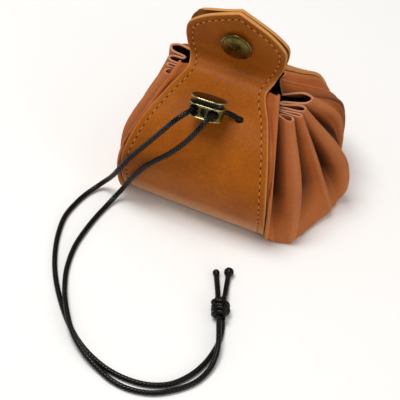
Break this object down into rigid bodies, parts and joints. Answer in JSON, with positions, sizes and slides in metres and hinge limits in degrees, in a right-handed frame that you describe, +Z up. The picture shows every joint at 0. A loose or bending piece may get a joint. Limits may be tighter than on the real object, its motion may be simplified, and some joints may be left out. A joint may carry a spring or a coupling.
{
  "type": "leather drawstring dice bag",
  "caption": "Small drawstring pouch of thick tan leather with pleated sides, buttoned top tabs and a sprung lock on its cord, standing on its flat base to hold dice.",
  "frame": {"origin": "middle of the flat bottom that the bag stands on", "axes": "+Z up, +X to the right across the pleated sides, the front with the cord lock faces -Y"},
  "size_m": [0.1153, 0.1888, 0.1027],
  "materials": {
    "tan_leather": "smooth oiled vegetable-tanned leather with raw cut edges",
    "side_leather": "soft matt reddish leather",
    "old_brass": "antique brass, dark with bright worn edges",
    "dark_brass": "dark polished antique brass",
    "waxed_cord": "black braided waxed cord"
  },
  "bodies": {
    "bag": {"outer_panel": "tan_leather", "gusset_left": "side_leather", "gusset_right": "side_leather", "snap_cap": "old_brass", "snap_socket": "old_brass", "snap_stud": "old_brass", "lock_body": "old_brass", "cord_drawn": "waxed_cord", "cord_left": "waxed_cord", "cord_right": "waxed_cord", "cord_knot": "waxed_cord", "cord_tail_left": "waxed_cord", "cord_tail_right": "waxed_cord"},
    "button": {"lock_button": "dark_brass"}
  },
  "joints": [
    {"name": "button_press", "type": "slide", "parent": "bag", "child": "button", "axis": [0.0326, -0.466, -0.8842], "range_m": [0, 0.001], "stiffness_N_per_m": 400, "springref_m": -0.002}
  ]
}
